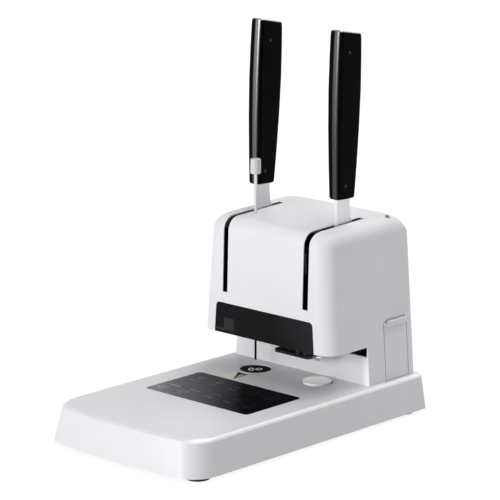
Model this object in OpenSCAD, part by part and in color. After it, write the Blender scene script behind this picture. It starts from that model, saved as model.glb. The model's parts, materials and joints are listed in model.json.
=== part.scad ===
// Document riveting machine: a drill lever on the left and a riveting lever on the right.
// X runs to the machine's right, the front faces -Y, Z is up and Z = 0 is the desk.

/* [Base] */
// Width of the base at its lower edge
base_w = 200; // [190:1:220]
// Depth of the base at its lower edge
base_d = 330; // [320:1:350]
// Height of the base's top face above the desk
base_top = 38.4; // [36:0.2:42]
// How far the base's sides lean in from bottom to top
base_draft = 5; // [2:0.5:8]
// Radius of the base's front corners
base_corner = 28; // [18:1:34]
// How far the front edge bows out at its middle
base_bow = 8; // [3:0.5:12]
// Height of the rubber feet under the base
foot_h = 4; // [3:0.5:6]
// Diameter of a rubber foot
foot_d = 24; // [16:1:28]

/* [Head] */
// Height of the head's lower edge above the desk
head_bottom = 76.7; // [74:0.1:80]
// Height of the head's front top edge above the desk
head_top = 191.5; // [188:0.5:196]
// Half width of the column at the base's top
column_half_w = 88; // [84:0.5:90]
// How much a side wall leans in for each millimetre of height
side_lean = 0.073; // [0.05:0.001:0.08]
// Y of the head's front face at its lower edge
head_front = 38; // [34:0.5:40]
// Y of the column's rear face at the base's top
column_rear = 160.9; // [159:0.1:161]
// Y of the throat's back wall
throat_y = 92; // [90:0.5:93]
// Height of the throat panel's top edge above the desk
throat_top = 66.8; // [60:0.2:70]
// Wall of the head and of the base
wall = 2.6; // [2:0.1:3]
// Radius of the head's upright front corners
head_corner = 18; // [12:0.5:20]
// Radius of the edge between the head's front and its top
top_fillet = 12.5; // [10:0.5:16]

/* [Levers] */
// X of each lever bar's middle plane
lever_x = 52; // [51:0.5:53]
// Y of the lever shaft
shaft_y = 91.5; // [91:0.5:93]
// Height of the lever shaft above the desk
shaft_z = 128; // [126:0.5:129]
// Diameter of the lever shaft
shaft_d = 10; // [8:0.5:11]
// Thickness of a lever bar
bar_t = 4; // [3:0.2:4.4]
// Width of a lever bar
bar_w = 18; // [16:0.5:20]
// Width of the slot that the left lever bar swings in
slot_w_left = 6.2; // [5.6:0.1:6.4]
// Width of the slot that the right lever bar swings in
slot_w_right = 7; // [6:0.1:7.2]
// Height of each slot's lower end above the desk
slot_bottom = 118; // [116:0.5:119]
// Y of each slot's rear end
slot_rear = 120; // [116:1:124]
// Length of a grip
grip_len = 160.1; // [140:1:165]
// Height of a grip's lower end above the desk
grip_bottom = 217.4; // [216:0.5:230]
// Backward lean of the left grip in degrees
grip_lean_left = 2.7; // [0:0.1:4]
// Backward lean of the right grip in degrees
grip_lean_right = 1.6; // [0:0.1:4]
// Swing of a lever in degrees
lever_swing = 88; // [70:1:90]

/* [Stations] */
// X of the drill's axis
drill_x = -40.6; // [-42:0.1:-40]
// X of the rivet die's axis
die_x = 40.4; // [40:0.1:42]
// Y of both working axes
work_y = 70.5; // [69.5:0.5:71]
// Diameter of the drilling mat
mat_d = 30.8; // [26:0.2:32]
// How far the mat's middle lies right of the drill's axis, so that a turn brings up a fresh place
mat_shift_x = 5.6; // [3:0.1:6]
// How far the mat's middle lies in front of the drill's axis
mat_shift_y = 5.9; // [3:0.1:6]
// Diameter of the white cap over the lower die
cap_d = 28.6; // [26:0.2:31]
// How far the cap stands above the base
cap_rise = 2.3; // [1:0.1:3]
// Outer diameter of the hollow drill
drill_d = 5; // [4.6:0.1:6]
// Height of the hollow drill's edge above the desk, lever up
drill_tip_z = 68.7; // [68.7:0.1:72]
// Height of the upper die's tip above the desk, lever up
die_tip_z = 60.3; // [60:0.1:62]
// Diameter of the clearing needle's upper rod
rod_d = 2.8; // [2.4:0.1:3]
// Height of the needle's tip above the desk
needle_tip_z = 45.3; // [44:0.1:50]
// Height of the knob's lower face above the desk
knob_z = 232; // [222:0.5:240]
// Diameter of the guide rods
guide_d = 8; // [6:0.5:8]

/* [Gears] */
// Module of the drill pinion and rack
drill_module = 2; // [2:0.1:2.1]
// Module of the rivet pinion and rack
rivet_module = 1.25; // [1.2:0.05:1.3]
// Teeth on each pinion
pinion_teeth = 20; // [20:2:20]
// Play between teeth at the pitch line
tooth_play = 0.2; // [0.1:0.05:0.3]

/* [Drawer] */
// Y of the drawer front's near edge
drawer_y0 = 117.5; // [115:0.5:119]
// Y of the drawer front's far edge
drawer_y1 = 150.5; // [146:0.5:151]
// Height of the drawer front's top edge above the desk
drawer_top = 94.7; // [90:0.5:100]
// Gap round the drawer front
drawer_gap = 0.8; // [0.3:0.1:1]

/* [Panel] */
// Width of the touch panel
panel_w = 133; // [110:1:140]
// Depth of the touch panel
panel_d = 76; // [60:1:80]
// Y of the touch panel's middle
panel_y = -19; // [-30:1:-15]

/* [Hidden] */

eps = 0.01;
run_gap = 0.05;     // radial clearance of a shaft in its bore
free_gap = 0.4;     // gap between pieces that move past each other
seat_gap = 0.02;    // gap between round pieces that sit in each other
half_w = base_w / 2;
base_y0 = -base_d / 2;
base_y1 = base_d / 2;
edge_r = 4;         // rounding of the base's top edge
floor_z = foot_h;
plate_t = 2;        // bottom plate's thickness
deck_t = wall;      // thickness of the base's top
deck_z = base_top - deck_t;
white = [0.92, 0.92, 0.93];
black = [0.07, 0.07, 0.08];
steel = [0.72, 0.73, 0.75];
dark_steel = [0.42, 0.43, 0.45];
brass_tone = [0.78, 0.66, 0.38];

// ---- plan outlines -------------------------------------------------------
function arc(c, r, a0, a1, n = 6) =
    [for (i = [0:n]) let (a = a0 + (a1 - a0) * i / n) c + r * [cos(a), sin(a)]];

function plan(hw, y0, y1, r0, r1) = concat(
    arc([hw - r0, y0 + r0], r0, -90, 0),
    arc([hw - r1, y1 - r1], r1, 0, 90),
    arc([r1 - hw, y1 - r1], r1, 90, 180),
    arc([r0 - hw, y0 + r0], r0, 180, 270));

bow_steps = 10;
rear_corner = 3;    // radius of the base's rear corners
front_draft = 1.3;  // the front leans this much more than the sides
rear_draft = 0.15;  // the rear leans this much of what the sides lean
function bow_at(x, hw) = base_bow * pow(x / hw, 2);
function base_plan(inset, lean = 0, r = base_corner) =
    let (hw = half_w - inset - lean, y0 = base_y0 + inset + lean * front_draft,
        y1 = base_y1 - inset - lean * rear_draft, side_y = y0 + bow_at(hw - r, hw))
    concat(
        [for (i = [1:bow_steps - 1]) let (x = (hw - r) * (2 * i / bow_steps - 1))
            [x, y0 + bow_at(x, hw)]],
        arc([hw - r, side_y + r], r, -80, 0),
        arc([hw - rear_corner, y1 - rear_corner], rear_corner, 0, 90),
        arc([rear_corner - hw, y1 - rear_corner], rear_corner, 90, 180),
        arc([r - hw, side_y + r], r, 180, 260));

module slab(z, points, tilt = 0) {
    translate([0, 0, z]) rotate([tilt, 0, 0]) linear_extrude(eps) polygon(points);
}

// A profile drawn in the Y-Z plane, extruded along X from x0
module side_profile(x0, t) {
    translate([x0, 0, 0]) rotate([90, 0, 90]) linear_extrude(t) children();
}

module upright(x, y, z0, z1, d) {
    translate([x, y, z0]) cylinder(h = z1 - z0, d = d, $fn = 48);
}

module along_x(x0, x1, y, z, d) {
    translate([x0, y, z]) rotate([0, 90, 0]) cylinder(h = x1 - x0, d = d, $fn = 48);
}

module along_y(x, y0, y1, z, d) {
    translate([x, y0, z]) rotate([-90, 0, 0]) cylinder(h = y1 - y0, d = d, $fn = 48);
}

module block(x0, x1, y0, y1, z0, z1) {
    translate([x0, y0, z0]) cube([x1 - x0, y1 - y0, z1 - z0]);
}

module rounded_plate(x0, x1, y0, y1, z0, z1, r) {
    translate([(x0 + x1) / 2, 0, z0]) linear_extrude(z1 - z0)
        polygon(plan((x1 - x0) / 2, y0, y1, r, r));
}

// ---- base ----------------------------------------------------------------
module base_solid(grow = 0) {
    hull() {
        slab(floor_z - (grow > 0 ? 1 : 0), base_plan(grow));
        slab(base_top - edge_r, base_plan(grow, base_draft));
        for (a = [30, 60, 90])
            slab(base_top - edge_r + edge_r * sin(a) - eps - grow * sin(a),
                base_plan(grow, base_draft + edge_r * (1 - cos(a))));
    }
}

panel_r = 4;
panel_t = 1.4;      // thickness of the touch panel
module panel_area(grow, z0, z1) {
    rounded_plate(-panel_w / 2 - grow, panel_w / 2 + grow,
        panel_y - panel_d / 2 - grow, panel_y + panel_d / 2 + grow, z0, z1, panel_r + grow);
}

ring_w = 1.1;       // width of the bright ring round the mat
mat_drop = 0.6;     // the mat's top lies this far below the base's top
mat_t = 4;
mat_x = drill_x + mat_shift_x;
mat_y = work_y - mat_shift_y;
cap_t = 3.9;
cap_gap = 0.8;      // gap round the cap, wide enough to lift it with a nail
gauge_x = [-42.5, -25.7];
gauge_y = [23, 45.2];
module base_shell() {
    color(white) difference() {
        base_solid();
        difference() {
            base_solid(wall);
            // bosses for the screws of the bottom plate
            for (x = screw_x, y = screw_y) upright(x, y, floor_z + plate_t, base_top, screw_boss_d);
            // cup that carries the mat
            upright(mat_x, mat_y, cup_floor, base_top, mat_d + 2 * ring_w + 2 * wall);
            // cup that carries the cap and the lower die
            upright(die_x, work_y, cup_floor, base_top, cap_d + 2 * wall);
            block(gauge_x[0] - wall, gauge_x[1] + wall, gauge_y[0] - wall, gauge_y[1] + wall,
                gauge_floor, base_top);
        }
        panel_area(0.15, base_top - panel_t, base_top + 5);
        // cable way from the panel to the board
        block(-20, 20, panel_y + 10, panel_y + 20, deck_z - 5, base_top);
        upright(mat_x, mat_y, base_top - mat_drop - mat_t, base_top + 5,
            mat_d + 2 * ring_w + 2 * seat_gap);
        upright(die_x, work_y, base_top - cap_t + cap_rise - 0.02, base_top + 5,
            cap_d + 2 * cap_gap);
        upright(die_x, work_y, cup_floor - 1, base_top, lower_die_d + 2 * free_gap);
        block(gauge_x[0], gauge_x[1], gauge_y[0], gauge_y[1], base_top - gauge_t, base_top + 5);
        // the wiring and the frames' legs pass through the deck
        block(-50, 14, leg_y[1] + 3, 145, deck_z - 5, base_top + 5);
        for (s = [-1, 1]) block(s * frame_x - 16, s * frame_x + 5, leg_y[0] - 1, leg_y[1] + 1,
            deck_z - 5, base_top + 5);
        for (x = screw_x, y = screw_y) upright(x, y, floor_z - 1, floor_z + 16, screw_hole_d);
    }
}
screw_x = [20 - half_w, half_w - 20];
screw_y = [base_y0 + 49, base_y1 - 39];
screw_boss_d = 8;
screw_hole_d = 3.4;
cup_floor = 28;
gauge_floor = 32;
gauge_t = 3;

// The plate stays clear of the shell's leaning walls
plate_gap = free_gap + base_draft * (plate_t + 1) / (base_top - edge_r - floor_z + 1);
module bottom_plate() {
    color(black) difference() {
        translate([0, 0, floor_z]) linear_extrude(plate_t) polygon(base_plan(wall + plate_gap));
        for (x = screw_x, y = screw_y) upright(x, y, 0, floor_z + 9, screw_hole_d);
        for (x = foot_x, y = foot_y) upright(x, y, 0, floor_z + 9, foot_peg_d + 2 * seat_gap);
    }
}

foot_x = [18 - half_w, half_w - 18];
foot_y = [base_y0 + 27, base_y1 - 17];
foot_peg_d = 6;
module rubber_feet() {
    color(black) for (x = foot_x, y = foot_y) translate([x, y, 0]) rotate_extrude($fn = 48)
        polygon([[0, 0], [foot_d / 2 - 1, 0], [foot_d / 2, 1], [foot_d / 2, foot_h],
            [foot_peg_d / 2, foot_h], [foot_peg_d / 2, foot_h + plate_t + 1], [0, foot_h + plate_t + 1]]);
}

module touch_panel() {
    color(black) panel_area(0, base_top - panel_t, base_top + 0.2);
}

board_z = 20;
board_t = 1.6;
module control_board() {
    color([0.1, 0.35, 0.2]) {
        difference() {
            block(-62, 62, panel_y - 34, panel_y + 34, board_z, board_z + board_t);
            for (x = [-56, 56], y = [-28, 28]) upright(x, panel_y + y, board_z - 1, board_z + 4, 3.4);
        }
        block(-30, 30, panel_y - 12, panel_y + 6, board_z + board_t, board_z + 8);
    }
    // stand-offs on the bottom plate
    color(steel) for (x = [-56, 56], y = [-28, 28])
        upright(x, panel_y + y, floor_z + plate_t, board_z, 7);
}

gauge_depth = 2.2;
gauge_mouth = 13.5; // width of the pocket's wide end
gauge_rim = 0.7;
module tube_gauge() {
    color([0.79, 0.72, 0.6]) difference() {
        block(gauge_x[0] + 0.1, gauge_x[1] - 0.1, gauge_y[0] + 0.1, gauge_y[1] - 0.1,
            base_top - gauge_t, base_top + 0.05);
        // wedge-shaped pocket that a rivet tube is measured in
        translate([0, 0, base_top - gauge_depth]) linear_extrude(gauge_depth + 1)
            polygon([[gauge_x[1] - gauge_mouth, gauge_y[1] - gauge_rim], [gauge_x[1] - gauge_rim,
                gauge_y[1] - gauge_rim], [gauge_x[1] - gauge_rim, gauge_y[0] + gauge_rim]]);
    }
}

mat_gap = 0.3;
module mat_ring() {
    color(steel) difference() {
        upright(mat_x, mat_y, base_top - mat_drop - mat_t, base_top + 0.1, mat_d + 2 * ring_w);
        upright(mat_x, mat_y, base_top - mat_drop - mat_t + 1, base_top + 5, mat_d + 2 * mat_gap);
    }
}

module drill_mat() {
    color(black) upright(mat_x, mat_y, base_top - mat_drop - mat_t + 1, base_top - mat_drop, mat_d);
}

lower_die_d = 14;
cap_dome = 0.5;     // the cap's top rises this much to its middle
module die_cap() {
    r = cap_d / 2;
    dome = [for (i = [0:6]) let (f = 1 - i / 6) [(r - 0.6) * f, cap_t - cap_dome * f * f]];
    color(white) translate([die_x, work_y, base_top + cap_rise - cap_t]) rotate_extrude($fn = 64)
        polygon(concat([[0, 1], [lower_die_d / 2 + 1.5, 1], [lower_die_d / 2 + 1.5, 0], [r, 0],
            [r, cap_t - cap_dome - 0.5]], dome));
}

module lower_die() {
    color(brass_tone) difference() {
        upright(die_x, work_y, 12, base_top + cap_rise - cap_t + 0.98, lower_die_d);
        translate([die_x, work_y, base_top + cap_rise - cap_t]) sphere(d = 5, $fn = 32);
    }
}

module lower_heater() {
    color(steel) {
        difference() {
            block(die_x - 14, die_x + 14, work_y - 14, work_y + 14, 14, cup_floor - free_gap);
            upright(die_x, work_y, 10, 50, lower_die_d + 2 * seat_gap);
        }
        block(die_x - 14, die_x - 10, work_y - 14, work_y + 14, floor_z + plate_t, 14);
        block(die_x + 10, die_x + 14, work_y - 14, work_y + 14, floor_z + plate_t, 14);
    }
}

// ---- head and column -----------------------------------------------------
front_lean = 0.03;  // how much the front leans back for each millimetre of height
top_tilt = 2;       // the head's top rises to the rear by this many degrees
fillet_steps = 6;
rear_fillet = 8;    // the rear corners round this much more at the top
rear_edge_r = 4;    // radius of the column's upright rear edges
function half_at(z) = column_half_w - side_lean * (z - base_top);
function front_at(z) = head_front + front_lean * max(0, z - head_bottom - 30);
column_edge_r = 1.2;    // radius of the column's upright front edges
rear_lean = 0.003;  // how much the rear leans in for each millimetre of height
function rear_at(z) = column_rear - rear_lean * (z - base_top);
function head_plan(z, inset) =
    plan(half_at(z) - inset, front_at(z) + inset, rear_at(z) - inset,
        head_corner - inset, rear_edge_r);

// The head's outside, or its inside when grow is the wall
module head_solid(grow = 0) {
    fillet_z = head_top - top_fillet;
    hull() {
        slab(head_bottom - (grow > 0 ? 1 : 0), head_plan(head_bottom, grow));
        slab(head_bottom + 35, head_plan(head_bottom + 35, grow));
        slab(fillet_z - 20, head_plan(fillet_z - 20, grow));
        for (i = [0:fillet_steps]) let (a = 90 * i / fillet_steps,
            inset = grow + (top_fillet - grow) * (1 - cos(a)),
            z = fillet_z + (top_fillet - grow) * sin(a))
            translate([0, head_front, z]) rotate([top_tilt * i / fillet_steps, 0, 0])
                translate([0, -head_front, 0]) linear_extrude(eps)
                    polygon(plan(half_at(z) - inset, front_at(z) + inset, rear_at(z) - inset,
                        head_corner, rear_edge_r + rear_fillet * sin(a)));
    }
}

function column_plan(z, inset) = plan(half_at(z) - inset, throat_y + inset, rear_at(z) - inset,
    column_edge_r, rear_edge_r);
column_tuck = 0.8;  // the column's top end leans this far into the head's wall

// The column's outside, or its inside when grow is the wall
module column_solid(grow = 0) {
    hull() {
        slab(base_top - (grow > 0 ? 5 : -0.02), column_plan(base_top, grow));
        slab(head_bottom, column_plan(head_bottom, grow));
        slab(head_bottom + 5, column_plan(head_bottom + 5, grow + column_tuck));
    }
}

// The column's sides carried on upwards, past the drawer
module side_solid() {
    hull() for (z = [base_top + 0.02, drawer_top + 10]) slab(z, column_plan(z, 0));
}

window_hw = 65;     // half width of the window
window_h = 30.3;    // height of the window
window_r = 4.5;     // radius of the window's upper corners
rear_open_hw = 62;  // half width of the opening behind the rear cover
rear_open_z = [44, 160];
throat_t = 2.6;     // thickness of the throat panel
slot_shift_left = 0.7;  // each slot lies this far right of its bar's middle plane
slot_shift_right = 0.9;
slot_wall = 0.9;    // the wall is this thin round the slots
slot_rim = 4;       // width of the thin strip round each slot
opening_edge = 1.4; // the side walls are this thin beside the opening over the throat panel
module window_area(grow) {
    w = window_hw + grow;
    top_w = w - side_lean * window_h;   // the window's ends lean as the side walls do
    r = window_r;
    h = window_h + grow;
    translate([0, 0, head_bottom]) rotate([90, 0, 0]) translate([0, 0, -70]) linear_extrude(70)
        polygon(concat([[-w, -5], [w, -5]], arc([top_w - r, h - r], r, 4, 90),
            arc([r - top_w, h - r], r, 90, 176)));
}

// The slot of one lever bar, from the head's front over its top
module lever_slot(s, grow = 0) {
    x = s * lever_x + (s < 0 ? slot_shift_left : slot_shift_right);
    w = (s < 0 ? slot_w_left : slot_w_right) / 2 + grow;
    block(x - w, x + w, head_front - 5, slot_rear + grow, slot_bottom - grow, head_top + 20);
}

module drawer_cut(grow) {
    block(50, 120, drawer_y0 - grow, drawer_y1 + grow, base_top + 0.6 - grow, drawer_top + grow);
}

lip_hollow_h = 5.2; // height of the hollow over the drawer's lip
// A profile in X and Z over the drawer's top edge, with X counted from the side wall
module side_cut(y0, y1) {
    translate([half_at(drawer_top), y1, drawer_top]) rotate([90, 0, 0]) linear_extrude(y1 - y0)
        children();
}

module head_shell() {
    color(white) difference() {
        union() {
            difference() {
                head_solid();
                head_solid(wall);
                block(-90, 90, 0, throat_y + wall, head_bottom - 5, head_bottom);
            }
            difference() {
                column_solid();
                column_solid(wall);
                head_solid(wall);
                // the throat panel closes the column's front
                block(-90, 90, 80, throat_y + throat_t + 0.1, base_top - 9, throat_top + 0.1);
            }
        }
        block(-half_at(head_bottom) + wall, half_at(head_bottom) - wall, throat_y - 5,
            throat_y + 30, throat_top + 0.1, head_bottom + 10);
        block(opening_edge - half_at(throat_top), half_at(throat_top) - opening_edge, throat_y - 5,
            throat_y + 14, throat_top + 0.1, head_bottom);
        intersection() {
            window_area(0.15);
            block(-90, 90, 20, head_front + 15, 60, 120);
        }
        // slots for the lever bars
        for (s = [-1, 1]) lever_slot(s);
        intersection() {
            head_solid(slot_wall);
            for (s = [-1, 1]) lever_slot(s, slot_rim);
        }
        // hole for the clearing needle
        upright(drill_x, work_y, head_top - 20, head_top + 20, rod_d + 2 * free_gap);
        difference() {
            drawer_cut(drawer_gap);
            block(0, 60, 0, 200, 0, 120);
        }
        // hollow over the drawer's lip, for a fingertip
        side_cut(drawer_y0 + 2, drawer_y1 - 1) polygon([[-1.7, 0], [3, 0], [3, lip_hollow_h],
            [0.2, lip_hollow_h], [-1.7, 1.4]]);
        block(-rear_open_hw, rear_open_hw, 140, 175, rear_open_z[0], rear_open_z[1]);
        at_top_screw() upright(0, 0, -10, 10, top_screw_d + 0.4);
    }
}
top_screw = [67, 140.7, 194.1 + head_top - 191.5];
top_screw_tilt = 15;    // the screw stands square to the rounded edge
top_screw_d = 3;
module at_top_screw() {
    translate(top_screw) rotate([0, top_screw_tilt, 0]) children();
}

module rear_cover() {
    lean = atan(rear_lean);
    color([0.86, 0.86, 0.88]) difference() {
        intersection() {
            union() {
                head_solid(0.02);
                column_solid(0.02);
            }
            difference() {
                block(-rear_open_hw + 0.3, rear_open_hw - 0.3, 145, 175,
                    rear_open_z[0] + 0.3, rear_open_z[1] - 0.3);
                // inner face, parallel to the leaning rear wall
                translate([0, column_rear - 3, base_top]) rotate([lean, 0, 0])
                    translate([-100, -40, -20]) cube([200, 40, 160]);
            }
        }
        // cooling louvres
        for (i = [0:vent_count - 1]) block(-30, 30, 130, 175, vent_z + i * vent_pitch,
            vent_z + i * vent_pitch + 2.6);
        block(inlet_x - inlet_w / 2 - 0.1, inlet_x + inlet_w / 2 + 0.1, 130, 175,
            inlet_z - inlet_h / 2 - 0.1, inlet_z + inlet_h / 2 + 0.1);
        block(switch_x - switch_w / 2 - 0.1, switch_x + switch_w / 2 + 0.1, 130, 175,
            switch_z - switch_h / 2 - 0.1, switch_z + switch_h / 2 + 0.1);
        for (x = cover_screw_x, z = cover_screw_z) along_y(x, 130, 175, z, 3.4);
    }
}
vent_count = 7;
vent_z = 100;
vent_pitch = 6.5;
inlet_x = -34;
inlet_z = 64;
inlet_w = 27;
inlet_h = 20;
switch_x = 2;
switch_z = 64;
switch_w = 13;
switch_h = 19;
cover_screw_x = [-56, 56];
cover_screw_z = [52, 152];

module throat_panel() {
    color(white) intersection() {
        column_solid();
        block(-90, 90, throat_y, throat_y + throat_t, base_top + 0.02, throat_top);
    }
}

under_z = 79;       // lower face of the cover under the head
under_t = 2;
module under_cover() {
    color(black) difference() {
        translate([0, 0, under_z]) linear_extrude(under_t)
            polygon(plan(half_at(under_z) - wall - free_gap, front_at(under_z) + wall + 3 * free_gap,
                throat_y + 20, head_corner - wall, 3));
        upright(drill_x, work_y, 70, 90, chuck_d + 2);
        upright(die_x, work_y, 70, 90, heater_d + 2);
        for (x = press_post_x) upright(x, press_post_y, 70, 90, press_post_d + 2);
        frame_openings(0.4);
    }
}

module frame_openings(grow) {
    for (s = [-1, 1]) block(s * (frame_x + frame_t / 2) - frame_t / 2 - grow,
        s * (frame_x + frame_t / 2) + frame_t / 2 + grow, frame_y0 - grow, 170, 60, 100);
}

module smoked_window() {
    color([0.1, 0.1, 0.12, 0.9]) intersection() {
        window_area(0);
        difference() {
            head_solid(0.02);
            head_solid(3);
        }
        block(-90, 90, 20, head_front + 12, head_bottom + 0.1, 120);
    }
}

// ---- frame ---------------------------------------------------------------
frame_x = 68;       // inner face of a side frame
frame_t = 3;
frame_y0 = 47.8;
guide_y0 = 45.5;    // the guide plates reach further forward between the frames
leg_y = [98, 111];
lower_z = 83;
lower_t = 4;
upper_z = 171;
upper_t = 4;
upper_rear = 138;
module side_frame(s) {
    x0 = s > 0 ? frame_x : -frame_x - frame_t;
    color(black) difference() {
        union() {
            side_profile(x0, frame_t) polygon([[leg_y[0], floor_z + plate_t], [leg_y[1], floor_z + plate_t],
                [leg_y[1], 99], [146, 99], [142, upper_z + upper_t], [frame_y0 + 4, upper_z + upper_t],
                [frame_y0, upper_z - 4], [frame_y0, lower_z], [leg_y[0], lower_z]]);
            // foot flange
            block(s > 0 ? frame_x - 14 : -frame_x, s > 0 ? frame_x : 14 - frame_x,
                leg_y[0], leg_y[1], floor_z + plate_t, floor_z + plate_t + frame_t);
        }
        along_x(x0 - 1, x0 + frame_t + 1, shaft_y, shaft_z, shaft_d + 2 * seat_gap);
    }
}
module side_frame_left() { side_frame(-1); }
module side_frame_right() { side_frame(1); }

rod_x = [18, 42];   // guide rods either side, mirrored for the drill
rod_y = 51;
module lower_guide_plate() {
    color(black) difference() {
        block(-frame_x, frame_x, guide_y0, leg_y[0] + 10, lower_z, lower_z + lower_t);
        for (s = [-1, 1], x = rod_x) upright(s * x, rod_y, 70, 100, guide_d + 2 * seat_gap);
        upright(drill_x, work_y, 70, 100, chuck_d + 2);
        upright(die_x, work_y, 70, 100, heater_d + 2);
        for (x = press_post_x) upright(x, press_post_y, 70, 100, press_post_d + 2);
        // room for the wiring
        block(-12, 12, 80, 100, 70, 100);
    }
}

module upper_guide_plate() {
    notch_w = bar_t + 5;
    color(black) difference() {
        block(-frame_x, frame_x, guide_y0, upper_rear, upper_z, upper_z + upper_t);
        for (s = [-1, 1]) block(s * lever_x - notch_w / 2, s * lever_x + notch_w / 2,
            20, slot_rear + 4, 160, 180);
        // the outer strips in front of the notches stay free of the rounded corners
        for (s = [-1, 1]) block(s * 62 - 8, s * 62 + 8, 20, frame_y0 + 25, 160, 180);
        for (s = [-1, 1], x = rod_x) upright(s * x, rod_y, 160, 180, guide_d + 2 * seat_gap);
        upright(drill_x, work_y, 160, 180, bush_d + 2 * seat_gap);
        block(-12, 12, 100, 130, 160, 180);
    }
}

module lever_shaft() {
    color(steel) {
        along_x(-frame_x - frame_t - 4, frame_x + frame_t + 4, shaft_y, shaft_z, shaft_d);
        for (s = [-1, 1]) along_x(s * (frame_x + frame_t + 1.6) - 1, s * (frame_x + frame_t + 1.6) + 1,
            shaft_y, shaft_z, shaft_d + 6);
    }
}

module guide_rods(s) {
    color(steel) for (x = rod_x) upright(s * x, rod_y, lower_z, upper_z + upper_t, guide_d);
}
module drill_guide_rods() { guide_rods(-1); }
module rivet_guide_rods() { guide_rods(1); }

bush_d = 9;
module needle_bush() {
    color(brass_tone) difference() {
        union() {
            upright(drill_x, work_y, upper_z - 1, upper_z + upper_t + 3, bush_d);
            upright(drill_x, work_y, upper_z + upper_t, upper_z + upper_t + 1.5, bush_d + 4);
        }
        upright(drill_x, work_y, upper_z - 5, upper_z + 20, rod_d + 2 * run_gap);
    }
}

supply_w = 28;
supply_h = 28;
module power_supply() {
    y0 = leg_y[1] + 1;
    z0 = floor_z + plate_t;
    color([0.1, 0.35, 0.2]) block(-48, 40, y0, y0 + supply_w, z0 + 6, z0 + 7.6);
    color(steel) for (x = [-44, 36], y = [y0 + 4, y0 + supply_w - 4]) upright(x, y, z0, z0 + 6, 6);
    color([0.85, 0.75, 0.3]) block(-40, -12, y0 + 2, y0 + supply_w - 2, z0 + 7.6, z0 + supply_h);
    color(dark_steel) block(-4, 34, y0 + 4, y0 + supply_w - 4, z0 + 7.6, z0 + supply_h - 10);
}

module mains_inlet() {
    yb = rear_at(inlet_z);
    color(black) difference() {
        union() {
            block(inlet_x - inlet_w / 2, inlet_x + inlet_w / 2, yb - 18, yb, inlet_z - inlet_h / 2,
                inlet_z + inlet_h / 2);
            block(inlet_x - inlet_w / 2 - 3, inlet_x + inlet_w / 2 + 3, yb + 0.9, yb + 2.5,
                inlet_z - inlet_h / 2 - 2, inlet_z + inlet_h / 2 + 2);
            block(inlet_x - inlet_w / 2, inlet_x + inlet_w / 2, yb - 1, yb + 1.5,
                inlet_z - inlet_h / 2, inlet_z + inlet_h / 2);
        }
        translate([inlet_x, yb + 5, inlet_z]) rotate([90, 0, 0]) linear_extrude(18)
            polygon([[-12, -8], [12, -8], [12, 3], [7, 8], [-7, 8], [-12, 3]]);
    }
    color(steel) for (p = [[0, 2.5], [-7, -1.5], [7, -1.5]])
        block(inlet_x + p[0] - 1, inlet_x + p[0] + 1, yb - 13.5, yb - 5, inlet_z + p[1] - 2,
            inlet_z + p[1] + 2);
}

rocker_pivot_y = -2;
module switch_frame() {
    yb = rear_at(switch_z);
    color(black) difference() {
        union() {
            block(switch_x - switch_w / 2, switch_x + switch_w / 2, yb - 14, yb + 1.5,
                switch_z - switch_h / 2, switch_z + switch_h / 2);
            block(switch_x - switch_w / 2 - 1.5, switch_x + switch_w / 2 + 1.5, yb + 0.9, yb + 2.3,
                switch_z - switch_h / 2 - 1.5, switch_z + switch_h / 2 + 1.5);
        }
        block(switch_x - switch_w / 2 + 1.5, switch_x + switch_w / 2 - 1.5, yb - 9, yb + 5,
            switch_z - switch_h / 2 + 1.5, switch_z + switch_h / 2 - 1.5);
    }
}

module switch_rocker() {
    yb = rear_at(switch_z) + rocker_pivot_y;
    w = switch_w - 3 - 2 * free_gap;
    h = switch_h / 2 - 1.5 - 0.9;
    color(black) union() {
        side_profile(switch_x - w / 2, w) polygon([
            [yb - 4, switch_z - 3], [yb + 2.5, switch_z - h], [yb + 4.2, switch_z - h],
            [yb + 3.2, switch_z], [yb + 5.6, switch_z + h - 1], [yb + 3.6, switch_z + h],
            [yb - 4, switch_z + 3]]);
        along_x(switch_x - switch_w / 2 + 1.52, switch_x + switch_w / 2 - 1.52, yb, switch_z, 2.4);
    }
}

module case_screws() {
    color(dark_steel) {
        for (x = screw_x, y = screw_y) {
            upright(x, y, floor_z - 2, floor_z + 14, 3);
            upright(x, y, floor_z - 2.4, floor_z, 6);
        }
        for (x = cover_screw_x, z = cover_screw_z) {
            along_y(x, rear_at(z) - 8, rear_at(z) + 0.3, z, 3);
            along_y(x, rear_at(z) + 0.1, rear_at(z) + 1.7, z, 6);
        }
        at_top_screw() {
            upright(0, 0, -9, -0.1, top_screw_d);
            upright(0, 0, 0.1, 1.1, top_screw_d + 1.4);
            upright(0, 0, -1, 0.2, top_screw_d);
        }
    }
}

// ---- gears ---------------------------------------------------------------
pressure = 20;
function involute_at(rb, r) = r <= rb ? 0 : let (a = acos(rb / r)) tan(a) * 180 / PI - a;
// Polar angle of a tooth's flank at radius r, for a tooth centred on 0
function flank(m, n, r) = let (rp = m * n / 2, rb = rp * cos(pressure))
    90 / n - tooth_play / 4 / rp * 180 / PI + involute_at(rb, rp) - involute_at(rb, r);
function tooth_points(m, n, steps = 4) = let (rp = m * n / 2, r0 = rp - 1.25 * m, r1 = rp + 0.9 * m)
    concat(
        [for (i = [0:steps]) let (r = r0 + (r1 - r0) * i / steps) [r, -flank(m, n, r)]],
        [for (i = [steps:-1:0]) let (r = r0 + (r1 - r0) * i / steps) [r, flank(m, n, r)]]);
module pinion_profile(m, n) {
    polygon([for (k = [0:n - 1], p = tooth_points(m, n))
        p[0] * [cos(p[1] + 360 * k / n), sin(p[1] + 360 * k / n)]]);
}

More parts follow.
